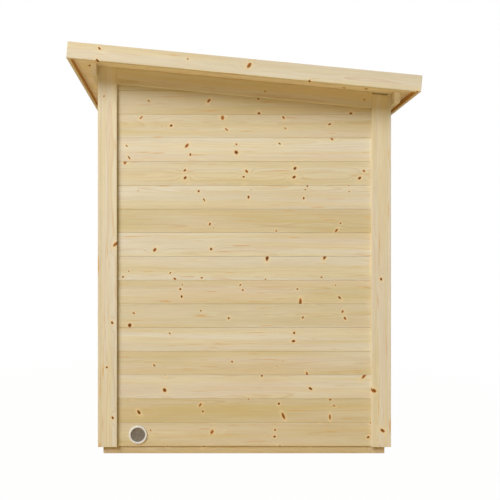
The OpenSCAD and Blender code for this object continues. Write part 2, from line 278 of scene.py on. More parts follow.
def growth(tree, place, grade):
    """Latewood's share, a knot's heart, body and halo, and the place in the bent log."""
    # A log isn't straight: its rings wander by some millimetres along its length
    bends = add(tree, VECTOR, TIMES, {0: place, 1: (1.1, 9.0, 9.0)})
    bends = add(tree, NOISE, None, {"Vector": bends, "Scale": 1.0, "Detail": 2.0})
    bends = add(tree, VECTOR, {"operation": "SUBTRACT"},
                {0: bends.outputs["Color"], 1: (0.5, 0.5, 0.5)})
    bent = add(tree, VECTOR, TIMES_PLUS, {0: bends, 1: (0.0, 0.030, 0.030), 2: place})
    along, across, deep = add(tree, SPLIT, None, {"Vector": bent}).outputs
    flat = add(tree, GATHER, None, {"Y": across, "Z": deep})
    radius = add(tree, VECTOR, {"operation": "LENGTH"}, {0: flat}).outputs["Value"]
    angle = add(tree, MATH, {"operation": "ARCTAN2"}, {0: across, 1: deep})

    off, size, darkness = branches(tree, along, angle, radius, grade)
    away = add(tree, VECTOR, {"operation": "LENGTH"}, {0: off}).outputs["Value"]
    heart = add(tree, SHARE, SOFT, {0: away, 1: 0.95, 2: 0.45, 3: 0.0, 4: 1.0})
    heart = add(tree, MATH, TIMES, {0: heart, 1: darkness})
    body = add(tree, SHARE, SOFT, {0: away, 1: 1.18, 2: 0.85, 3: 0.0, 4: 1.0})
    halo = add(tree, SHARE, SOFT, {0: away, 1: 3.4, 2: 1.1, 3: 0.0, 4: 1.0})

    # Rings flow round a branch, as water round a post
    squeezed = add(tree, VECTOR, TIMES, {0: off, 1: (0.22, 0.58, 0.0)})
    swirl = add(tree, VECTOR, {"operation": "DOT_PRODUCT"}, {0: squeezed, 1: squeezed})
    swirl = add(tree, MATH, TIMES, {0: swirl.outputs["Value"], 1: -1.0})
    swirl = add(tree, MATH, {"operation": "EXPONENT"}, {0: swirl})
    swirl = add(tree, MATH, TIMES, {0: swirl, 1: size})
    pushed = add(tree, MATH, TIMES_PLUS, {0: swirl, 1: 1.3, 2: radius})

    # Years differ in width, and in how dark they end
    years = add(tree, MATH, {"operation": "DIVIDE"}, {0: pushed, 1: RING})
    uneven = add(tree, MATH, TIMES, {0: years, 1: 0.22})
    uneven = add(tree, NOISE, {"noise_dimensions": "1D"}, {"W": uneven, "Scale": 1.0, "Detail": 1.0})
    years = add(tree, MATH, TIMES_PLUS, {0: uneven, 1: 5.0, 2: years})
    year = add(tree, MATH, {"operation": "FLOOR"}, {0: years})
    year_roll = add(tree, DICE, {"noise_dimensions": "1D"}, {"W": year}).outputs["Value"]
    part = add(tree, MATH, {"operation": "FRACT"}, {0: years})
    rise = add(tree, SHARE, SOFT, {0: part, 1: 0.25, 2: 0.88, 3: 0.0, 4: 1.0})
    drop = add(tree, SHARE, SOFT, {0: part, 1: 1.0, 2: 0.90, 3: 0.0, 4: 1.0})
    dark = add(tree, MATH, TIMES_PLUS, {0: year_roll, 1: 0.75, 2: 0.25})
    late = add(tree, MATH, TIMES, {0: rise, 1: drop})
    late = add(tree, MATH, TIMES, {0: late, 1: dark})
    return late, heart, body, halo, bent


# %% [markdown]
# The colour is laid on in the order in which the eye meets it: the board's tone from pale to
# tan, long cloudy streaks, a rosy blush, yellow bands, the latewood lines, fine fibres, thin
# honey-coloured streaks of resin, and last the knots. Planing leaves latewood a trace harder and
# shinier than the soft earlywood, so it also lifts the bump and lowers the roughness. Sawn timber
# keeps the saw's marks across the grain as well.

# %% Spruce
def board_attributes(tree):
    """A board's place in its log, and its grade: tone, warmth and knottiness."""
    place = add(tree, "ShaderNodeAttribute", {"attribute_name": "log"}).outputs["Vector"]
    grade = add(tree, "ShaderNodeAttribute", {"attribute_name": "board"}).outputs["Vector"]
    return place, grade


def spruce(name, pale, tan, rosy, rough=0.62, saw_marks=0.0, source=board_attributes):
    """Spruce between a pale and a tan tone. source gives the place in the log and the grade."""
    made = bpy.data.materials.new(name)
    made.use_nodes = True
    tree = made.node_tree
    shader = tree.nodes["Principled BSDF"]
    place, grade = source(tree)
    late, heart, body, halo, bent = growth(tree, place, grade)
    toned, warm, _ = add(tree, SPLIT, None, {"Vector": grade}).outputs

    clouds = add(tree, VECTOR, TIMES, {0: bent, 1: (0.9, 16.0, 16.0)})
    clouds = add(tree, NOISE, None, {"Vector": clouds, "Scale": 1.0, "Detail": 4.0})
    clouds = add(tree, SHARE, None, {0: clouds, 1: 0.35, 2: 0.65, 3: -0.24, 4: 0.24})
    tone = add(tree, MATH, {"operation": "ADD", "use_clamp": True}, {0: toned, 1: clouds})
    colour = add(tree, BLEND, MIXED, {0: tone, 6: linear(pale), 7: linear(tan)}).outputs[2]

    blush = add(tree, VECTOR, TIMES, {0: bent, 1: (1.3, 11.0, 7.0)})
    blush = add(tree, NOISE, None, {"Vector": blush, "Scale": 1.0, "Detail": 3.0})
    blush = add(tree, SHARE, SOFT, {0: blush, 1: 0.42, 2: 0.68, 3: 0.0, 4: 1.0})
    blush = add(tree, MATH, TIMES, {0: blush, 1: warm})
    colour = add(tree, BLEND, MIXED, {0: blush, 6: colour, 7: linear(rosy)}).outputs[2]

    yellow = add(tree, VECTOR, TIMES, {0: bent, 1: (0.8, 26.0, 26.0)})
    yellow = add(tree, NOISE, None, {"Vector": yellow, "Scale": 1.0, "Detail": 2.0})
    yellow = add(tree, SHARE, SOFT, {0: yellow, 1: 0.42, 2: 0.60, 3: 0.0, 4: 1.0})
    colour = add(tree, BLEND, STAINED, {0: yellow, 6: colour, 7: linear("#FFFBEC")}).outputs[2]

    ringed = add(tree, MATH, TIMES, {0: late, 1: 0.26})
    colour = add(tree, BLEND, STAINED, {0: ringed, 6: colour, 7: linear("#D9A765")}).outputs[2]
    fibres = add(tree, VECTOR, TIMES, {0: bent, 1: (7.0, 420.0, 420.0)})
    fibres = add(tree, NOISE, None, {"Vector": fibres, "Scale": 1.0, "Detail": 2.0})
    fine = add(tree, SHARE, None, {0: fibres, 1: 0.3, 2: 0.7, 3: 0.0, 4: 0.16})
    colour = add(tree, BLEND, STAINED, {0: fine, 6: colour, 7: linear("#C99F6A")}).outputs[2]
    resin = add(tree, VECTOR, TIMES, {0: bent, 1: (5.0, 110.0, 60.0)})
    resin = add(tree, NOISE, None, {"Vector": resin, "Scale": 1.0, "Detail": 1.0})
    resin = add(tree, SHARE, SOFT, {0: resin, 1: 0.66, 2: 0.78, 3: 0.0, 4: 0.75})
    colour = add(tree, BLEND, MIXED, {0: resin, 6: colour, 7: linear("#D2A35C")}).outputs[2]

    rim = add(tree, MATH, TIMES, {0: halo, 1: 0.45})
    colour = add(tree, BLEND, MIXED, {0: rim, 6: colour, 7: linear("#EBD6A8")}).outputs[2]
    colour = add(tree, BLEND, MIXED, {0: body, 6: colour, 7: linear("#B9792E")}).outputs[2]
    colour = add(tree, BLEND, MIXED, {0: heart, 6: colour, 7: linear("#5A3410")}).outputs[2]
    tree.links.new(colour, shader.inputs["Base Color"])

    shine = add(tree, MATH, TIMES_PLUS, {0: late, 1: -0.10, 2: rough})
    tree.links.new(shine.outputs[0], shader.inputs["Roughness"])
    height = add(tree, MATH, TIMES_PLUS, {0: fibres, 1: 0.5, 2: late})
    if saw_marks:
        sawn = add(tree, VECTOR, TIMES, {0: bent, 1: (330.0, 14.0, 14.0)})
        sawn = add(tree, NOISE, None, {"Vector": sawn, "Scale": 1.0, "Detail": 1.0})
        height = add(tree, MATH, TIMES_PLUS, {0: sawn, 1: saw_marks, 2: height})
    bump = add(tree, "ShaderNodeBump", None,
               {"Height": height, "Strength": 0.3, "Distance": 0.15 * MM})
    tree.links.new(bump.outputs[0], shader.inputs["Normal"])
    shader.inputs["Specular IOR Level"].default_value = 0.35
    shader.inputs["IOR"].default_value = 1.5
    return made


# %% The grades of spruce
# Trim boards are picked: clean, and a little paler than the wall beside them
trim_spruce = spruce("planed spruce trim", "#E6E3D4", "#D8D0B3", "#E1D8C4")
# Cladding is taken as it comes, so its boards range from cream to straw
cladding_spruce = spruce("planed spruce cladding", "#E4E1D0", "#D0C49A", "#DED1BE")
# The soffit's boards are made the palest, near white: painted light, as they lie in the roof's shade
soffit_spruce = spruce("planed spruce soffit", "#FCFAF3", "#F8F2E2", "#FAF2E4")
# Base beams are pressure-treated pine: sawn, not planed, so dull, with the saw's marks across
beam_pine = spruce("pressure-treated pine", "#D9D0B2", "#C6B68F", "#D6C4A6", 0.85, 3.0)
# Fascias' backs get a darker orange-brown spruce: painted shade, a warm edge all round under the roof
shade_painted_spruce = spruce("spruce with painted shade", "#D9AC6C", "#C08C48", "#CE9A56", 0.75)
print("materials:", [m.name for m in bpy.data.materials])

# %% [markdown]
# ## Working a board
# Two kinds of board are needed. Plain trim boards have exactly the CAD node's outline, so a copy
# of its mesh is cleaned and its edges are eased with a bevel, as a planer leaves them.
# Tongue and groove boards are cut from a cube primitive. Both get their grain at the very end,
# after every cut, from the places of their own corners.

# %% Choosing what to work on
dice = random.Random(11)
TOUCHING = 0.01 * MM   # what lies this near a cutting plane counts as on it
NEAR = 0.1 * MM        # what lies this near a place counts as there


def deselect():
    """Leaves object mode with nothing selected."""
    if bpy.context.mode != "OBJECT":
        bpy.ops.object.mode_set(mode="OBJECT")
    bpy.ops.object.select_all(action="DESELECT")


def choose(*pieces):
    """Selects these pieces alone, the first one active."""
    deselect()
    for piece in pieces:
        piece.select_set(True)
    bpy.context.view_layer.objects.active = pieces[0]


def pick(piece, kind, test):
    """Enters edit mode with only the faces or edges selected that pass the test."""
    choose(piece)
    bpy.ops.object.mode_set(mode="EDIT")
    bpy.ops.mesh.select_mode(type=kind)
    bpy.ops.mesh.select_all(action="DESELECT")
    shape = bmesh.from_edit_mesh(piece.data)
    for part in (shape.faces if kind == "FACE" else shape.edges):
        if test(part):
            part.select_set(True)
    bmesh.update_edit_mesh(piece.data)


# %% Starting, copying, joining and cutting
def block(name, low, high):
    """A cube primitive stretched between two corners, with its place in its mesh."""
    deselect()
    bpy.ops.mesh.primitive_cube_add(size=1, location=(Vector(low) + Vector(high)) / 2)
    piece = bpy.context.object
    piece.name = piece.data.name = name
    piece.scale = Vector(high) - Vector(low)
    bpy.ops.object.transform_apply(location=True, rotation=True, scale=True)
    return piece


def rod(name, centre, radius, length, turn=(0, 0, 0), sides=32):
    """A cylinder primitive, along Z unless it is turned, with its place in its mesh."""
    deselect()
    bpy.ops.mesh.primitive_cylinder_add(
        vertices=sides, radius=radius, depth=length, location=centre, rotation=turn)
    piece = bpy.context.object
    piece.name = piece.data.name = name
    bpy.ops.object.transform_apply(location=True, rotation=True, scale=True)
    return piece


def duplicate(piece, name, change=Matrix.Identity(4)):
    """A copy with its own mesh, moved by a matrix."""
    twin = piece.copy()
    twin.data = piece.data.copy()
    twin.name = twin.data.name = name
    twin.data.transform(change)
    bpy.context.collection.objects.link(twin)
    return twin


def join(name, pieces):
    """Several pieces as one, under a new name."""
    choose(*pieces)
    bpy.ops.object.join()
    piece = bpy.context.object
    piece.name = piece.data.name = name
    deselect()
    return piece


def cut_off(piece, point, normal):
    """Saws off what lies on the normal's side of a plane. False if nothing is left."""
    sides = [(v.co - point).dot(normal) for v in piece.data.vertices]
    if max(sides) <= TOUCHING:
        return True
    if min(sides) >= -TOUCHING:
        bpy.data.objects.remove(piece)
        return False
    pick(piece, "FACE", lambda face: True)
    bpy.ops.mesh.bisect(plane_co=point, plane_no=normal, use_fill=True, clear_outer=True,
                        threshold=TOUCHING)
    deselect()
    return True


def drill(piece, bit):
    """Cuts a drill bit's shape out of a piece, and puts the bit away."""
    choose(piece)
    hole = piece.modifiers.new("drilled hole", "BOOLEAN")
    hole.operation = "DIFFERENCE"
    hole.object = bit
    bpy.ops.object.modifier_apply(modifier=hole.name)
    bpy.data.objects.remove(bit)
    deselect()


def ease(piece, width, segments=2, angle=50):
    """Rounds the sharp edges with a bevel and applies it."""
    choose(piece)
    bevel = piece.modifiers.new("eased edges", "BEVEL")
    bevel.width = width
    bevel.segments = segments
    bevel.limit_method = "ANGLE"
    bevel.angle_limit = math.radians(angle)
    bpy.ops.object.modifier_apply(modifier=bevel.name)
    deselect()
    return piece


# %% Grain and finish
def give_grain(piece, along, out, tone, warmth=0.5, knots=0.35, deep=None):
    """Writes the attributes log and board for a board that runs along one way and faces another."""
    along, out = Vector(along).normalized(), Vector(out).normalized()
    axes = np.array([along, out.cross(along), -out])
    corners = np.array([v.co for v in piece.data.vertices]) @ axes.T
    low, high = corners.min(axis=0), corners.max(axis=0)
    width = high[1] - low[1]
    corners[:, 0] += dice.uniform(0, 60)
    corners[:, 1] += dice.uniform(-0.45, 0.45) * width - (low[1] + high[1]) / 2
    corners[:, 2] += (deep or dice.uniform(0.035, 0.120)) - low[2]
    log = piece.data.attributes.new("log", "FLOAT_VECTOR", "POINT")
    log.data.foreach_set("vector", corners.astype(np.float32).ravel())
    board = piece.data.attributes.new("board", "FLOAT_VECTOR", "POINT")
    grade = np.tile(np.array([tone, warmth, knots], np.float32), len(corners))
    board.data.foreach_set("vector", grade)
    return piece


def finish_piece(piece, material, slot, *nodes):
    """Paints a piece, shades its eased edges smooth and lets it stand for its CAD nodes."""
    piece.data.materials.clear()
    piece.data.materials.append(material)
    choose(piece)
    bpy.ops.object.shade_smooth_by_angle(angle=math.radians(35))
    flat_faces = piece.modifiers.new("flat faces stay flat", "WEIGHTED_NORMAL")
    flat_faces.keep_sharp = True
    bpy.ops.object.modifier_apply(modifier=flat_faces.name)
    deselect()
    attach(piece, "root")
    if nodes:
        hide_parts(*nodes)
    return piece


# %% [markdown]
# ## Cladding
# The walls are clad with level tongue and groove boards. Each covers 135 mm, its tongue stands
# up into the groove of the board above, and both face edges are lightly chamfered, so that a
# joint shows as one fine line. A board is drawn once for each length, lying along +X with its
# face to -Y: a cube, sliced twice through its thickness, its middle strip pulled up into the
# tongue and pushed in below to make the groove.

# %% One tongue and groove board
COVER = 135 * MM
TONGUE = 7 * MM
TONGUE_FROM, TONGUE_TO = 0.40, 0.66    # the tongue's place in the board's thickness
JOINT = 0.7 * MM                       # open joint between two faces
CHAMFER = 1.4 * MM                     # chamfer on the long face edges


def tongue_board(name, length, thick, cover=COVER):
    """A board along +X from the origin, its face at y = 0 towards -Y, its face edges at z."""
    piece = block(name, (0, 0, 0), (length, thick, cover - JOINT))
    front, back = TONGUE_FROM * thick, TONGUE_TO * thick
    for slice_y in (front, back):
        pick(piece, "FACE", lambda face: True)
        bpy.ops.mesh.bisect(plane_co=(0, slice_y, 0), plane_no=(0, 1, 0))
    for way, reach in ((1, TONGUE), (-1, TONGUE + 0.5 * MM)):
        pick(piece, "FACE", lambda face: face.normal.z * way > 0.9 and
             front < face.calc_center_median().y < back)
        bpy.ops.mesh.extrude_region_move(TRANSFORM_OT_translate={"value": (0, 0, reach)})
    pick(piece, "EDGE", lambda edge: all(v.co.y < 0.1 * MM for v in edge.verts) and
         abs(edge.verts[0].co.x - edge.verts[1].co.x) > 0.5 * length)
    bpy.ops.mesh.bevel(offset=CHAMFER, segments=2, profile=0.5)
    deselect()
    return piece


# %% [markdown]
# A wall is filled from the bottom. The boards are copies of one board, lifted course by course,
# turned to face the right way and sawn off along the soffit. The merchant's boards come in
# grades of tone. The vented wall has its own order of grades, and the other walls share one.

# %% Laying the courses
GRADE_TONE = {"pale": 0.06, "cream": 0.28, "plain": 0.50, "tan": 0.78, "straw": 0.95}


def lay_courses(name, node, turn, start, length, grades, gap=None, bit=None):
    """Clads a wall. gap is (from, to, top) of a doorway, and bit drills the lowest board."""
    low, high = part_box(node)
    thick = min(high.x - low.x, high.y - low.y)
    place = Matrix.Translation(start) @ Matrix.Rotation(math.radians(turn), 4, "Z")
    out = place.to_3x3() @ -Y
    along = place.to_3x3() @ X
    spans = {(0.0, length): tongue_board(name, length, thick)}
    if gap:
        spans[(0.0, gap[0])] = tongue_board(name, gap[0], thick)
        spans[(gap[1], length)] = tongue_board(name, length - gap[1], thick)
    laid = []
    for course in range(math.ceil((high.z - low.z) / COVER)):
        bottom = course * COVER
        opened = gap is not None and start.z + bottom < gap[2]
        for (begin, end), pattern in spans.items():
            if opened == (begin == 0.0 and end == length):
                continue
            lift = Matrix.Translation((begin, 0, bottom))
            board = duplicate(pattern, f"{name}_{course}", place @ lift)
            if not cut_off(board, soffit_point, soffit_normal):
                continue
            if bit and course == 0:
                drill(board, bit)
            tone = GRADE_TONE[grades[course % len(grades)]] + dice.uniform(-0.05, 0.05)
            give_grain(board, along, out, tone,
                       warmth=dice.uniform(0.1, 0.6), knots=dice.uniform(0.45, 0.75))
            laid.append(board)
    for pattern in spans.values():
        bpy.data.objects.remove(pattern)
    print(name, len(laid), "boards")
    return join(name, laid)


# %% Side wall with the vent
vent_low, vent_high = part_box("vent_ring")
mesh_low, mesh_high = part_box("vent_mesh")
vent_centre = (vent_low + vent_high) / 2
vent_centre.x = mesh_low.x
duct_radius = (mesh_high.z - mesh_low.z) / 2
SLEEVE = 2 * MM        # wall of the vent's sleeve
BIT_LENGTH = 200 * MM  # well over the cladding's thickness
quarter_turn = math.radians(90)

low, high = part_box("right_cladding")
bit = rod("bit", vent_centre, duct_radius + SLEEVE, BIT_LENGTH, (0, quarter_turn, 0), 64)
grades = ["tan", "straw", "cream", "plain", "cream", "plain", "plain", "cream",
          "pale", "tan", "cream", "plain", "pale", "plain", "plain", "plain"]
boards = lay_courses("right_boards", "right_cladding", 90, Vector((high.x, low.y, low.z)),
                     high.y - low.y, grades, bit=bit)
finish_piece(boards, cladding_spruce, "cladding_spruce", "right_cladding")

# %% Blind side wall and the rear wall
grades = ["plain", "pale", "tan", "plain", "cream", "pale", "plain", "tan", "pale", "plain"]
low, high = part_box("left_cladding")
boards = lay_courses("left_boards", "left_cladding", -90, Vector((low.x, high.y, low.z)),
                     high.y - low.y, grades)
finish_piece(boards, cladding_spruce, "cladding_spruce", "left_cladding")

low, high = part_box("rear_cladding")
boards = lay_courses("rear_boards", "rear_cladding", 180, Vector((high.x, high.y, low.z)),
                     high.x - low.x, grades[3:] + grades[:3])
finish_piece(boards, cladding_spruce, "cladding_spruce", "rear_cladding")

# %% Front wall round the doorway
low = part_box("front_cladding_left")[0]
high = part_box("front_cladding_right")[1]
door_low, door_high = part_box("door_frame")
gap = (door_low.x - low.x, door_high.x - low.x, door_high.z)
boards = lay_courses("front_boards", "front_cladding_left", 0, Vector(low),
                     high.x - low.x, grades[6:] + grades[:6], gap)
finish_piece(boards, cladding_spruce, "cladding_spruce",
             "front_cladding_left", "front_cladding_right", "front_cladding_over_door")

# %% [markdown]
# ## Corner boards, trims, purlins, fascias and base beams
# These are straight lengths of board, already at their true size in the frame, with their tops
# cut to the soffit where they meet it. Each is a cleaned copy of its CAD mesh: the loose
# triangles are merged and dissolved into whole faces, and the edges are eased. That soft edge
# is what catches a line of light along each board. On the rear corners the boards that face
# sideways were sawn a little short, so a slit is left between their tops and the soffit.

# %% Boards with the frame's own shapes
EASE = 2.8 * MM        # rounding of a trim board's edges
CORNER_EASE = 1.6 * MM  # corner boards are fitted tight, so their edges are kept crisp
SHORT = 11 * MM        # slit over the rear corners' side boards


def parts_of(node):
    """A CAD node's solids as clean separate pieces."""
    piece = bpy.data.objects.new(node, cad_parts[node].data.copy())
    bpy.context.collection.objects.link(piece)
    pick(piece, "FACE", lambda face: True)
    bpy.ops.mesh.remove_doubles(threshold=0.05 * MM)
    bpy.ops.mesh.dissolve_limited(angle_limit=math.radians(1))
    bpy.ops.mesh.separate(type="LOOSE")
    return [o for o in bpy.context.selected_objects if o.type == "MESH"]


def planed(node, along, out, material, slot, width=EASE, short=0.0, **grade):
    """One piece in a CAD node's place, with eased edges and its own grain."""
    boards = parts_of(node)
    for board in boards:
        if short:
            cut_off(board, soffit_point - soffit_normal * short, soffit_normal)
        ease(board, width)
        give_grain(board, along, out, **grade)
    return finish_piece(join(f"{node}_board", boards), material, slot, node)


for end, way in (("front", -Y), ("rear", Y)):
    for side, out in (("left", -X), ("right", X)):
        short = SHORT if end == "rear" else 0.0
        planed(f"corner_{end}_{side}_face", Z, way, trim_spruce, "trim_spruce",
               CORNER_EASE, tone=dice.uniform(0.1, 0.4), knots=0.3)
        planed(f"corner_{end}_{side}_side", Z, out, trim_spruce, "trim_spruce",
               CORNER_EASE, short, tone=dice.uniform(0.1, 0.4), knots=0.4)
    planed(f"{end}_trim", X, way, trim_spruce, "trim_spruce", tone=0.4)
    planed(f"purlin_{end}", X, way, trim_spruce, "trim_spruce", tone=0.1, knots=0.2, deep=0.04)
    planed(f"fascia_{end}", X, way, trim_spruce, "trim_spruce", tone=0.3)
    planed(f"base_beam_{end}", X, way, beam_pine, "impregnated_pine", tone=0.4)
for side, out in (("left", -X), ("right", X)):
    planed(f"{side}_trim", down_slope, out, trim_spruce, "trim_spruce", tone=0.55, knots=0.3)
    planed(f"fascia_{side}", down_slope, out, trim_spruce, "trim_spruce", tone=0.55, knots=0.3)
    planed(f"base_beam_{side}", Y, out, beam_pine, "impregnated_pine", tone=0.5)

# %% [markdown]
# A fascia's back face, turned in under the roof, gets a darker orange-brown spruce as a second
# material: painted shade for the warm shade there, with the nearer half of the rounding round it.

# %% Painted shade on the fascias' backs
FACES = 0.9            # a face looks one way if its normal's cosine to it is over this
backs = 0
for end, inwards in (("front", Y), ("rear", -Y), ("left", X), ("right", -X)):
    fascia = scene.objects[f"fascia_{end}_board"]
    fascia.data.materials.append(shade_painted_spruce)
    for face in fascia.data.polygons:
        face.material_index = int(face.normal.dot(inwards) > FACES)
        backs += face.material_index
print("faces with painted shade on the fascias' backs:", backs)

# %% [markdown]
# The purlins' sawn ends are painted near white: painted light, so that they look lit though they lie
# in the roof's shade. It makes them paler than the shaded tops of the corner boards beside them. The
# end faces get that paint as a second material, with the nearer half of the rounding round them.

# %% Purlin ends with painted light
def painted_light_ends():
    """Painted light on end grain: near-white cream, with the rings just showing through."""
    made = bpy.data.materials.new("end grain painted light")
    made.use_nodes = True
    tree = made.node_tree
    shader = tree.nodes["Principled BSDF"]
    place, grade = board_attributes(tree)
    late = growth(tree, place, grade)[0]
    thin = add(tree, NOISE, None, {"Vector": place, "Scale": 60.0, "Detail": 2.0})
    rings_through = add(tree, MATH, TIMES, {0: late, 1: thin})
    colour = add(tree, BLEND, MIXED, {0: rings_through, 6: linear("#FDFCF8"), 7: linear("#EDE3CB")})
    tree.links.new(colour.outputs[2], shader.inputs["Base Color"])
    shine = add(tree, SHARE, None, {0: thin, 1: 0.3, 2: 0.7, 3: 0.42, 4: 0.58})
    tree.links.new(shine.outputs[0], shader.inputs["Roughness"])
    return made


lit_end_paint = painted_light_ends()
lightened = 0
for end in ("front", "rear"):
    purlin = scene.objects[f"purlin_{end}_board"]
    purlin.data.materials.append(lit_end_paint)
    for face in purlin.data.polygons:
        face.material_index = int(abs(face.normal.x) > FACES)
        lightened += face.material_index
print("sealed faces on the purlins' ends:", lightened)

# %% [markdown]
# ## Roof boards and soffit
# The same tongue and groove board makes the roof: laid face down on the purlins and running
# with the slope, its chamfered faces are the soffit that shows under the overhangs. The boards
# are drawn square in the roof's own axes and tipped with it at the end.

# %% Roof boards
ROOF_COVER = 118 * MM  # wanted cover of a roof board, before an even number is fitted in
low, high = slope_box("roof_boards")
count = round((high.x - low.x) / ROOF_COVER)
cover = (high.x - low.x) / count
pattern = tongue_board("soffit_board", high.y - low.y, high.z - low.z, cover)
face_down = Matrix.Rotation(quarter_turn, 4, "Z") @ Matrix.Rotation(quarter_turn, 4, "X")
boards = []
for number in range(count):
    place = on_slope @ Matrix.Translation((low.x + number * cover, low.y, low.z)) @ face_down
    board = duplicate(pattern, f"soffit_board_{number}", place)
    cut_off(board, high, X)
    cut_off(board, low, -X)
    boards.append(give_grain(board, down_slope, -up_from_roof, tone=dice.uniform(0.3, 0.8),
                             warmth=dice.uniform(0.2, 0.8), knots=dice.uniform(0.25, 0.5)))
bpy.data.objects.remove(pattern)
finish_piece(join("soffit_boards", boards), soffit_spruce, "soffit_spruce", "roof_boards")
print(count, "roof boards, cover", round(cover / MM, 1), "mm")

# %% [markdown]
# ## Roofing felt
# The roof is covered with two widths of mineral felt laid along the eaves, the upper one lapped
# over the lower. The lap is made by cutting the upper sheet across near its lower edge and
# lifting that edge by one thickness. The felt is bitumen with slate granules rolled in: nearly
# black between pale and dark grains a millimetre or two across.

# %% Mineral felt
GRANULE = 2.2 * MM


def mineral_felt():
    """Slate granules in bitumen: dull, dark and speckled, with paler worn clouds."""
    made = bpy.data.materials.new("mineral roofing felt")
    made.use_nodes = True
    tree = made.node_tree
    shader = tree.nodes["Principled BSDF"]
    place = add(tree, "ShaderNodeTexCoord").outputs["Object"]
    grains = add(tree, "ShaderNodeTexVoronoi", None, {"Vector": place, "Scale": 1 / GRANULE})
    grit = add(tree, "ShaderNodeSeparateColor", None, {"Color": grains.outputs["Color"]})
    speck = add(tree, BLEND, MIXED, {0: grit, 6: linear("#26272A"), 7: linear("#6A6C70")})
    worn = add(tree, NOISE, None, {"Vector": place, "Scale": 2.5, "Detail": 4.0})
    worn = add(tree, SHARE, None, {0: worn, 1: 0.3, 2: 0.7, 3: 0.0, 4: 0.35})
    colour = add(tree, BLEND, MIXED, {0: worn, 6: speck.outputs[2], 7: linear("#4A4A4C")})
    tree.links.new(colour.outputs[2], shader.inputs["Base Color"])
    shader.inputs["Roughness"].default_value = 0.92
    bump = add(tree, "ShaderNodeBump", None,
               {"Height": grains.outputs["Distance"], "Strength": 0.6, "Distance": 0.6 * MM})
    tree.links.new(bump.outputs[0], shader.inputs["Normal"])
    return made


# %% Two sheets with a lap
SHEET = 1000 * MM      # width of the felt on its roll
LAP = 110 * MM         # width of the upper sheet that lies on the lower
RAMP = 30 * MM         # length over which the upper sheet climbs onto the lower
SHEET_SHARE = 0.7      # one sheet's share of the felt node's thickness
low, high = slope_box("roof_felt")
thin = (high.z - low.z) * SHEET_SHARE
edge_y = high.y - SHEET
lower = block("felt_lower", (low.x, edge_y, low.z), (high.x, high.y, low.z + thin))
upper = block("felt_upper", (low.x, low.y, low.z), (high.x, edge_y + LAP, low.z + thin))
for fold_y in (edge_y, edge_y - RAMP):
    pick(upper, "FACE", lambda face: True)
    bpy.ops.mesh.bisect(plane_co=(0, fold_y, 0), plane_no=(0, 1, 0))
pick(upper, "EDGE", lambda edge: all(v.co.y > edge_y - NEAR for v in edge.verts))
bpy.ops.transform.translate(value=(0, 0, thin))
for sheet in (lower, upper):
    ease(sheet, 0.8 * MM)
    sheet.data.transform(on_slope)
finish_piece(join("felt_sheets", [lower, upper]), mineral_felt(), "roofing_felt", "roof_felt")
print("felt lap", round(LAP / MM), "mm")

# %% [markdown]
# ## The vent
# A round air inlet sits low in the side wall: a moulded white ring with a rounded rim, its
# sleeve running through the wall, and an insect mesh inside. The ring is turned like a vase.
# Half its section starts as one small plane, gets its rounded corners and its sleeve, loses its
# face so that only the outline is left, and is spun once round the duct's axis. A little drain
# notch is cut in the rim at the bottom.

# %% White plastic
def vent_plastic():
    """Injection-moulded polypropylene: off-white, softly shiny, with a fine moulded grain."""
    made = bpy.data.materials.new("moulded polypropylene")
    made.use_nodes = True
    tree = made.node_tree
    shader = tree.nodes["Principled BSDF"]
    place = add(tree, "ShaderNodeTexCoord").outputs["Object"]
    dust = add(tree, NOISE, None, {"Vector": place, "Scale": 45.0, "Detail": 3.0})
    dust = add(tree, SHARE, SOFT, {0: dust, 1: 0.45, 2: 0.70, 3: 0.0, 4: 0.5})
    colour = add(tree, BLEND, MIXED, {0: dust, 6: linear("#E4E4E4"), 7: linear("#D3D0CB")})
    tree.links.new(colour.outputs[2], shader.inputs["Base Color"])
    grain = add(tree, NOISE, None, {"Vector": place, "Scale": 1 / (0.9 * MM), "Detail": 1.0})
    shine = add(tree, SHARE, None, {0: grain, 1: 0.3, 2: 0.7, 3: 0.38, 4: 0.48})
    tree.links.new(shine.outputs[0], shader.inputs["Roughness"])
    bump = add(tree, "ShaderNodeBump", None,
               {"Height": grain, "Strength": 0.2, "Distance": 0.05 * MM})
    tree.links.new(bump.outputs[0], shader.inputs["Normal"])
    shader.inputs["IOR"].default_value = 1.49
    shader.inputs["Subsurface Weight"].default_value = 0.06
    shader.inputs["Subsurface Scale"].default_value = 1.5 * MM
    return made


# %% Vent ring
FLANGE_ROUND = 2.6 * MM  # rounding of the rim
NOTCH = 2.8 * MM       # radius of the drain notch
NOTCH_RISE = 1.4 * MM  # height of its middle over the rim's foot
flange = vent_high.x - vent_centre.x
bore_z, sleeve_z = vent_centre.z + duct_radius, vent_centre.z + duct_radius + SLEEVE

deselect()
bpy.ops.mesh.primitive_plane_add(
    size=1, rotation=(quarter_turn, 0, 0),
    location=(vent_centre.x + flange / 2, vent_centre.y, (bore_z + vent_high.z) / 2))
ring = bpy.context.object
ring.name = ring.data.name = "vent_grille"
ring.scale = (flange, vent_high.z - bore_z, 1)
bpy.ops.object.transform_apply(location=True, rotation=True, scale=True)
pick(ring, "FACE", lambda face: True)
bpy.ops.mesh.bisect(plane_co=(0, 0, sleeve_z), plane_no=(0, 0, 1))
pick(ring, "EDGE", lambda edge: all(v.co.x < vent_centre.x + NEAR and
                                    v.co.z < sleeve_z + NEAR for v in edge.verts))
bpy.ops.mesh.extrude_region_move(
    TRANSFORM_OT_translate={"value": (vent_low.x - vent_centre.x, 0, 0)})
pick(ring, "FACE", lambda face: True)
bpy.ops.mesh.dissolve_faces()
bpy.ops.mesh.select_mode(type="VERT")
bpy.ops.mesh.select_all(action="DESELECT")
shape = bmesh.from_edit_mesh(ring.data)
for corner in shape.verts:
    corner.select_set(corner.co.x > vent_high.x - NEAR and
                      not bore_z + NEAR < corner.co.z < vent_high.z - NEAR)
bmesh.update_edit_mesh(ring.data)
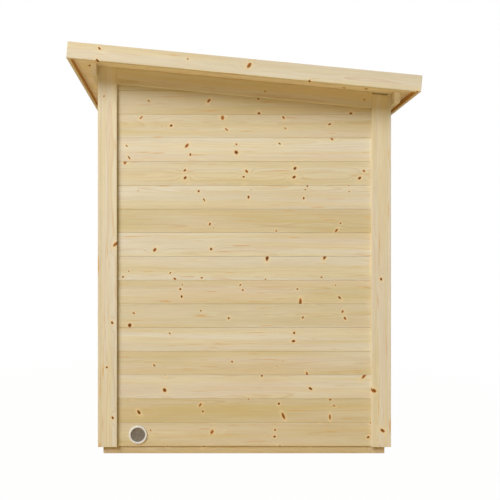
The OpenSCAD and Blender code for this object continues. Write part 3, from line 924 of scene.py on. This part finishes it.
bpy.ops.mesh.bevel(offset=FLANGE_ROUND, segments=4, affect="VERTICES")

pick(ring, "FACE", lambda face: True)
bpy.ops.mesh.delete(type="ONLY_FACE")
pick(ring, "EDGE", lambda edge: True)
bpy.ops.mesh.spin(steps=96, angle=math.tau, center=vent_centre, axis=(1, 0, 0))
bpy.ops.mesh.select_all(action="SELECT")
bpy.ops.mesh.remove_doubles(threshold=0.02 * MM)
bpy.ops.mesh.normals_make_consistent(inside=False)
deselect()
notch = Vector((vent_high.x, vent_centre.y, vent_low.z + NOTCH_RISE))
drill(ring, rod("bit", notch, NOTCH, 8 * MM, (0, quarter_turn, 0), 20))
finish_piece(ring, vent_plastic(), "vent_plastic", "vent_ring")
print("vent ring", len(ring.data.polygons), "faces")

# %% [markdown]
# The insect mesh is a plain weave of thin coated wires, each going over one wire and under the
# next. One wire is a long thin bar, cut at every crossing, with every second ring of edges
# moved out. Its neighbours are copies shifted by one crossing, so the weave closes, and each
# wire is sawn off at the duct's wall. The weave is drawn coarser than insect mesh mostly is, so
# that it still shows from a step away.

# %% Coated wire
def coated_wire():
    """Aluminium wire under a grey-brown lacquer that outdoor dust has dulled."""
    made = bpy.data.materials.new("lacquered aluminium wire")
    made.use_nodes = True
    tree = made.node_tree
    shader = tree.nodes["Principled BSDF"]
    place = add(tree, "ShaderNodeTexCoord").outputs["Object"]
    dust = add(tree, NOISE, None, {"Vector": place, "Scale": 60.0, "Detail": 3.0})
    dust = add(tree, SHARE, SOFT, {0: dust, 1: 0.35, 2: 0.70, 3: 0.0, 4: 1.0})
    colour = add(tree, BLEND, MIXED, {0: dust, 6: linear("#A69D92"), 7: linear("#928B80")})
    tree.links.new(colour.outputs[2], shader.inputs["Base Color"])
    shine = add(tree, SHARE, None, {0: dust, 1: 0.0, 2: 1.0, 3: 0.50, 4: 0.70})
    tree.links.new(shine.outputs[0], shader.inputs["Roughness"])
    shader.inputs["Metallic"].default_value = 0.35
    return made


# %% Woven insect mesh
PITCH = 2.4 * MM       # distance between two wires
WIRE = 0.85 * MM       # thickness of a wire with its lacquer
WAVE = 0.7 * WIRE      # how far a wire swings out at every second crossing
crossings = math.floor(duct_radius / PITCH)
half = crossings * PITCH
weave_x = (mesh_low.x + mesh_high.x) / 2

wire = block("wire", (-WIRE / 2, -half, -WIRE / 2), (WIRE / 2, half, WIRE / 2))
pick(wire, "EDGE", lambda edge: abs(edge.verts[0].co.y - edge.verts[1].co.y) > half)
bpy.ops.mesh.subdivide(number_cuts=2 * crossings - 1)
pick(wire, "EDGE", lambda edge: abs(edge.verts[0].co.y - edge.verts[1].co.y) < 0.1 * WIRE and
     round(edge.verts[0].co.y / PITCH) % 2 == 0)
bpy.ops.transform.translate(value=(WAVE, 0, 0))
wires = []
for number in range(-crossings + 1, crossings):
    reach = math.sqrt(duct_radius ** 2 - (number * PITCH) ** 2)
    for name, turn in (("level", 0.0), ("upright", quarter_turn)):
        shift = (number + (name == "upright")) % 2 * PITCH
        place = Matrix.Translation((weave_x - WAVE / 2, vent_centre.y, vent_centre.z))
        place = place @ Matrix.Rotation(turn, 4, "X") @ Matrix.Translation((0, shift, number * PITCH))
        one = duplicate(wire, f"{name}_wire_{number}", place)
        along = Matrix.Rotation(turn, 3, "X") @ Y
        cut_off(one, vent_centre + along * reach, along)
        cut_off(one, vent_centre - along * reach, -along)
        wires.append(one)
bpy.data.objects.remove(wire)
finish_piece(join("insect_mesh", wires), coated_wire(), "vent_mesh", "vent_mesh")
print("insect mesh:", len(wires), "wires")

# %% [markdown]
# ## The door
# The door is plain, in the same boards as the walls, set upright. Behind them a back panel of
# wide boards closes the leaf. The frame is four rebated bars: a head, a sill and two jambs
# between them. Each is a block with its stop pulled out of the inner face, behind the leaf. The
# casing boards cover the joint to the cladding.

# %% Door leaf
DOOR_BOARDS = 6
PANEL_BOARDS = 3       # wide boards on the leaf's back
FRONT_SHARE = 0.45     # the front boards' share of the leaf's thickness
leaf_low, leaf_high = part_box("door_leaf")
front_t = (leaf_high.y - leaf_low.y) * FRONT_SHARE
cover = (leaf_high.x - leaf_low.x) / DOOR_BOARDS
upright = Matrix.Rotation(-quarter_turn, 4, "Y")
pattern = tongue_board("door_board", leaf_high.z - leaf_low.z, front_t, cover)
boards = []
for number in range(DOOR_BOARDS):
    place = Matrix.Translation((leaf_high.x - number * cover, leaf_low.y, leaf_low.z)) @ upright
    board = duplicate(pattern, f"door_board_{number}", place)
    cut_off(board, leaf_high, X)
    cut_off(board, leaf_low, -X)
    boards.append(give_grain(board, Z, -Y, tone=dice.uniform(0.1, 0.6),
                             warmth=dice.uniform(0.2, 0.8), knots=0.3))
bpy.data.objects.remove(pattern)
wide = (leaf_high.x - leaf_low.x) / PANEL_BOARDS
for number in range(PANEL_BOARDS):
    from_x = leaf_low.x + number * wide
    panel = block(f"door_panel_{number}", (from_x, leaf_low.y + front_t, leaf_low.z),
                  (from_x + wide, leaf_high.y, leaf_high.z))
    ease(panel, 1 * MM)
    boards.append(give_grain(panel, Z, Y, dice.uniform(0.3, 0.6)))
finish_piece(join("door_boards", boards), cladding_spruce, "cladding_spruce", "door_leaf")
print("door boards:", len(boards))

# %% Door frame, casing and handle
LEAF_GAP = 3 * MM      # gap round the door leaf
STOP = 12 * MM         # reach of the frame's stops behind the leaf
FRAME_EASE = 1.5 * MM
HANDLE_EASE = 5 * MM   # a handle is rounded well, for the hand
opening_low = leaf_low - (X + Z) * LEAF_GAP
opening_high = leaf_high + (X + Z) * LEAF_GAP


def rebated_bar(name, low, high, along, inwards, shorter):
    """A bar of the door frame, its stop shorter than the opening by so much at each end."""
    piece = block(name, low, high)
    start, end = opening_low + along * shorter, opening_high - along * shorter
    for point, normal in ((opening_high, Y), (start, along), (end, along)):
        pick(piece, "FACE", lambda face: True)
        bpy.ops.mesh.bisect(plane_co=point, plane_no=normal)
    pick(piece, "FACE", lambda face: face.normal.dot(inwards) > FACES and
         face.calc_center_median().y > opening_high.y and
         start.dot(along) < face.calc_center_median().dot(along) < end.dot(along))
    bpy.ops.mesh.extrude_region_move(TRANSFORM_OT_translate={"value": inwards * STOP})
    return ease(piece, FRAME_EASE)


bars = [
    rebated_bar("head", (door_low.x, door_low.y, opening_high.z), door_high, X, -Z, 0.0),
    rebated_bar("sill", door_low, (door_high.x, door_high.y, opening_low.z), X, Z, 0.0),
    rebated_bar("left_jamb", (door_low.x, door_low.y, opening_low.z),
                (opening_low.x, door_high.y, opening_high.z), Z, X, STOP),
    rebated_bar("right_jamb", (opening_high.x, door_low.y, opening_low.z),
                (door_high.x, door_high.y, opening_high.z), Z, -X, STOP)]
for bar in bars:
    reach = bar.dimensions
    give_grain(bar, X if reach.x > reach.z else Z, -Y, dice.uniform(0.2, 0.5))
finish_piece(join("door_frame_boards", bars), trim_spruce, "trim_spruce", "door_frame")

casing = []
for board in parts_of("door_casing"):
    reach = board.dimensions
    ease(board, EASE)
    casing.append(give_grain(board, X if reach.x > reach.z else Z, -Y, dice.uniform(0.1, 0.4)))
finish_piece(join("door_casing_boards", casing), trim_spruce, "trim_spruce", "door_casing")
planed("door_handle", Z, -Y, trim_spruce, "trim_spruce", HANDLE_EASE, tone=0.7, knots=0.1)
print("door frame bars:", len(bars), "casing boards:", len(casing))

# %% [markdown]
# Three butt hinges carry the door. Each is a pin in a knuckle of three joints, and a plate with
# three screws. One hinge is made and copied to its three heights. Zinc plating is thin
# and bright, and its blue-grey varies a little in soft clouds.

# %% Zinc-plated steel
def zinc_plate():
    """Electroplated zinc on steel: a soft bluish-grey shine with faint clouds."""
    made = bpy.data.materials.new("zinc-plated steel")
    made.use_nodes = True
    tree = made.node_tree
    shader = tree.nodes["Principled BSDF"]
    place = add(tree, "ShaderNodeTexCoord").outputs["Object"]
    clouds = add(tree, NOISE, None, {"Vector": place, "Scale": 90.0, "Detail": 3.0})
    colour = add(tree, BLEND, MIXED, {0: clouds, 6: linear("#B4B7BA"), 7: linear("#D0D0CC")})
    tree.links.new(colour.outputs[2], shader.inputs["Base Color"])
    shine = add(tree, SHARE, None, {0: clouds, 1: 0.3, 2: 0.7, 3: 0.28, 4: 0.42})
    tree.links.new(shine.outputs[0], shader.inputs["Roughness"])
    shader.inputs["Metallic"].default_value = 1.0
    return made


# %% Hinges
HINGE = 90 * MM        # length of a hinge
PLATE = 2.5 * MM       # thickness of its plate
KNUCKLES = 3           # joints of the knuckle
SLIT = 0.8 * MM        # gap between two knuckles
SCREW = 4 * MM         # radius of a screw's head
SCREW_HEIGHT = 1.2 * MM
SOCKET = 0.9 * MM      # depth of the hole in its head
SCREW_IN = 9 * MM      # from the plate's edge to the middle of a screw
hinge_low, hinge_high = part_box("door_hinges")
knuckle = (hinge_high.y - hinge_low.y) / 2
pin = Vector((leaf_high.x + LEAF_GAP / 2, hinge_high.y - knuckle, hinge_low.z + HINGE / 2))
parts = [ease(rod("pin", pin, knuckle * 0.5, HINGE), 1.2 * MM)]
for number in range(KNUCKLES):
    lift = (number - 1) * HINGE / KNUCKLES
    parts.append(ease(rod("knuckle", pin + Z * lift, knuckle, HINGE / KNUCKLES - SLIT), 0.6 * MM))
parts.append(ease(block("plate", (hinge_low.x, hinge_high.y - PLATE, hinge_low.z),
                        (hinge_high.x, hinge_high.y, hinge_low.z + HINGE)), 0.7 * MM))
for share in (0.18, 0.5, 0.82):
    head = Vector((hinge_low.x + SCREW_IN, hinge_high.y - PLATE, hinge_low.z + share * HINGE))
    screw = rod("screw", head, SCREW, SCREW_HEIGHT, (quarter_turn, 0, 0), 24)
    pick(screw, "FACE", lambda face: face.normal.y < -FACES)
    bpy.ops.mesh.inset(thickness=SCREW * 0.5)
    bpy.ops.mesh.extrude_region_move(TRANSFORM_OT_translate={"value": (0, SOCKET, 0)})
    parts.append(ease(screw, 0.25 * MM))
lowest = join("hinge", parts)
spread = (hinge_high.z - hinge_low.z - HINGE) / 2
hinges = [duplicate(lowest, f"hinge_{n}", Matrix.Translation(Z * spread * n)) for n in (1, 2)]
finish_piece(join("hinges", [lowest, *hinges]), zinc_plate(), "zinc_plated_steel", "door_hinges")
print("hinges:", 1 + len(hinges), "with a knuckle of", round(knuckle * 2 / MM), "mm")

# %% [markdown]
# ## What the cladding hides
# The wall frames, the floor and the roof's core keep their CAD shapes. They show only through
# the vent and from below, so they need no boards of their own. Their material cuts the wood into
# lining boards by place instead: level courses in the walls, and lengths across the floor.

# %% Lining boards by place
LINING = 95 * MM       # cover of a lining board


def stacked(upwards):
    """A source of grain for boards that are stacked upwards, or else from front to rear."""
    def source(tree):
        place = add(tree, "ShaderNodeTexCoord").outputs["Object"]
        x, y, z = add(tree, SPLIT, None, {"Vector": place}).outputs
        stack, along = (z, add(tree, MATH, PLUS, {0: x, 1: y})) if upwards else (y, x)
        over = add(tree, MATH, {"operation": "DIVIDE"}, {0: stack, 1: LINING})
        number = add(tree, MATH, {"operation": "FLOOR"}, {0: over})
        part = add(tree, MATH, {"operation": "FRACT"}, {0: over})
        across = add(tree, MATH, TIMES_PLUS, {0: part, 1: LINING, 2: -LINING / 2})
        along = add(tree, MATH, TIMES_PLUS, {0: number, 1: 7.3, 2: along})
        grade = add(tree, DICE, {"noise_dimensions": "1D"}, {"W": number}).outputs["Color"]
        deep = add(tree, SPLIT, None, {"Vector": grade}).outputs["X"]
        deep = add(tree, MATH, TIMES_PLUS, {0: deep, 1: 0.07, 2: 0.04})
        return add(tree, GATHER, None, {"X": along, "Y": across, "Z": deep}), grade
    return source


lining = spruce("spruce lining", "#DFCBA2", "#CDB07C", "#DABD98", source=stacked(True))
decking = spruce("spruce decking", "#DFCBA2", "#C9AB76", "#DABD98", source=stacked(False))
finishes = {"front_wall_left": lining, "front_wall_right": lining, "front_wall_over_door": lining,
            "rear_wall": lining, "left_wall": lining, "right_wall": lining,
            "floor_boards": decking, "roof_core": decking}
for node, finish in finishes.items():
    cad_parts[node].data.materials.clear()
    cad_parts[node].data.materials.append(finish)
print("lined:", ", ".join(finishes))
